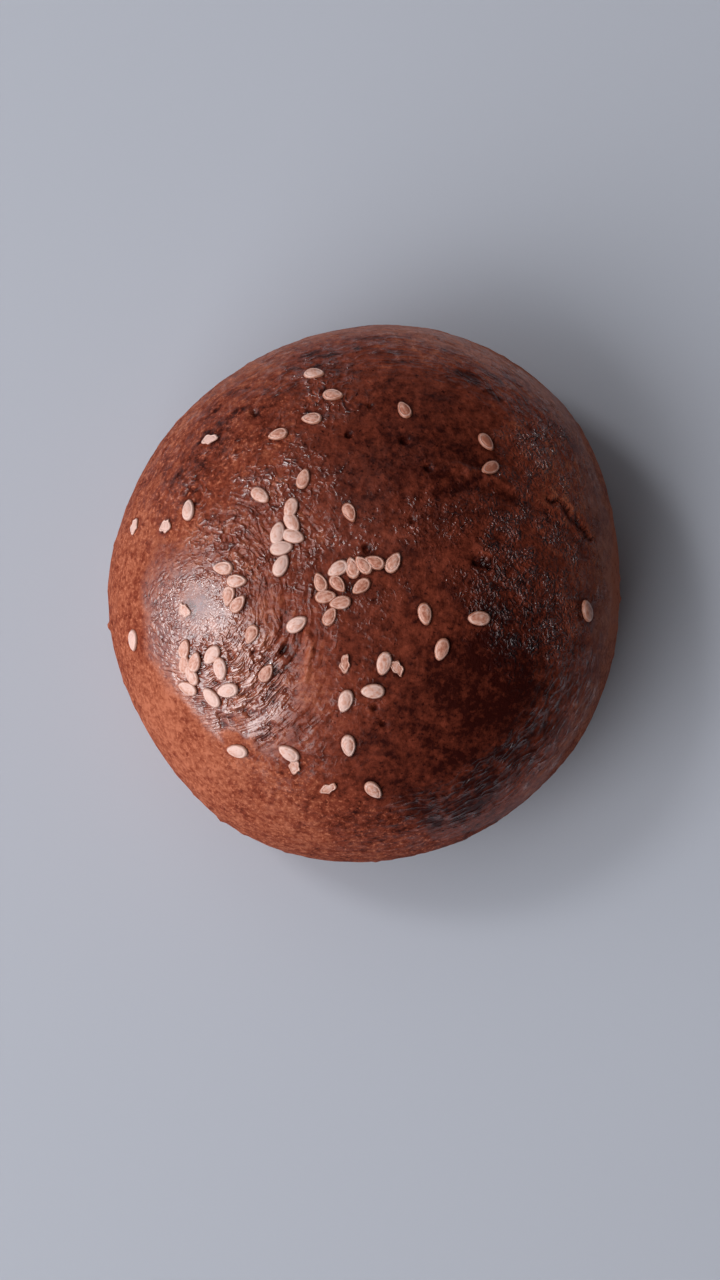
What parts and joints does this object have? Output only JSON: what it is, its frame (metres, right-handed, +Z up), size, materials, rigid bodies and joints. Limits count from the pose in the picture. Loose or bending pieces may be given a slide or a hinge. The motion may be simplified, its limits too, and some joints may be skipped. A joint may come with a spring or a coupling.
{
  "type": "round sesame bread loaf",
  "caption": "Small round loaf of dark glazed bread with a domed crust, a flat base and sesame seeds on top, served as one uncut piece.",
  "frame": {"origin": "middle of the footprint, on the surface that the loaf rests on", "axes": "+Z up from the flat base to the crown, +Y along the longer way across, +X to its right seen from above"},
  "size_m": [0.08, 0.0838, 0.0436],
  "materials": {
    "crust": "dark reddish-brown baked crust with an egg-wash gloss, lighter and duller low on the flank",
    "seed": "pale tan sesame hull with a soft sheen"
  },
  "bodies": {
    "root": {"loaf": "crust"}
  },
  "joints": []
}
